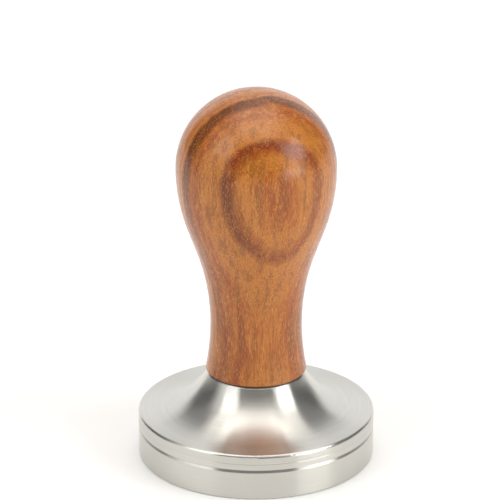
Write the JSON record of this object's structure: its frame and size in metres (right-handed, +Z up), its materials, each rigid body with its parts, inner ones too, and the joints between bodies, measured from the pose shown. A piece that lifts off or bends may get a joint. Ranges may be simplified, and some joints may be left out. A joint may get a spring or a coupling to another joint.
{
  "type": "espresso tamper",
  "caption": "Espresso tamper: grooved flat steel base with a flared neck and a bulb-shaped turned wooden handle that unscrews from it.",
  "frame": {"origin": "centre of the flat tamping face, which the object stands on", "axes": "+Z up along the axis of the base and the handle; +Y away from the user, +X to the right"},
  "size_m": [0.058, 0.058, 0.0936],
  "materials": {
    "brushed_steel": "turned, fine circular brushing",
    "stud_steel": "plain rolled thread",
    "washer_nylon": "matte",
    "insert_brass": "turned and knurled",
    "turned_wood": "satin lacquer over turned hardwood"
  },
  "bodies": {
    "base": {"steel_base": "brushed_steel", "threaded_stud": "stud_steel"},
    "washer": {"seat_washer": "washer_nylon"},
    "handle": {"wooden_handle": "turned_wood", "threaded_insert": "insert_brass"}
  },
  "joints": [
    {"name": "handle_rise", "type": "slide", "parent": "base", "child": "washer", "axis": [0, 0, 1], "range_m": [0, 0.015]},
    {"name": "handle_unscrew", "type": "hinge", "parent": "washer", "child": "handle", "pos_m": [0, 0, 0.0219], "axis": [0, 0, 1], "range_deg": [0, 4320]}
  ],
  "couplings": [
    {"joint": "handle_rise", "follows": "handle_unscrew", "m_per_rad": 0.00019894}
  ]
}
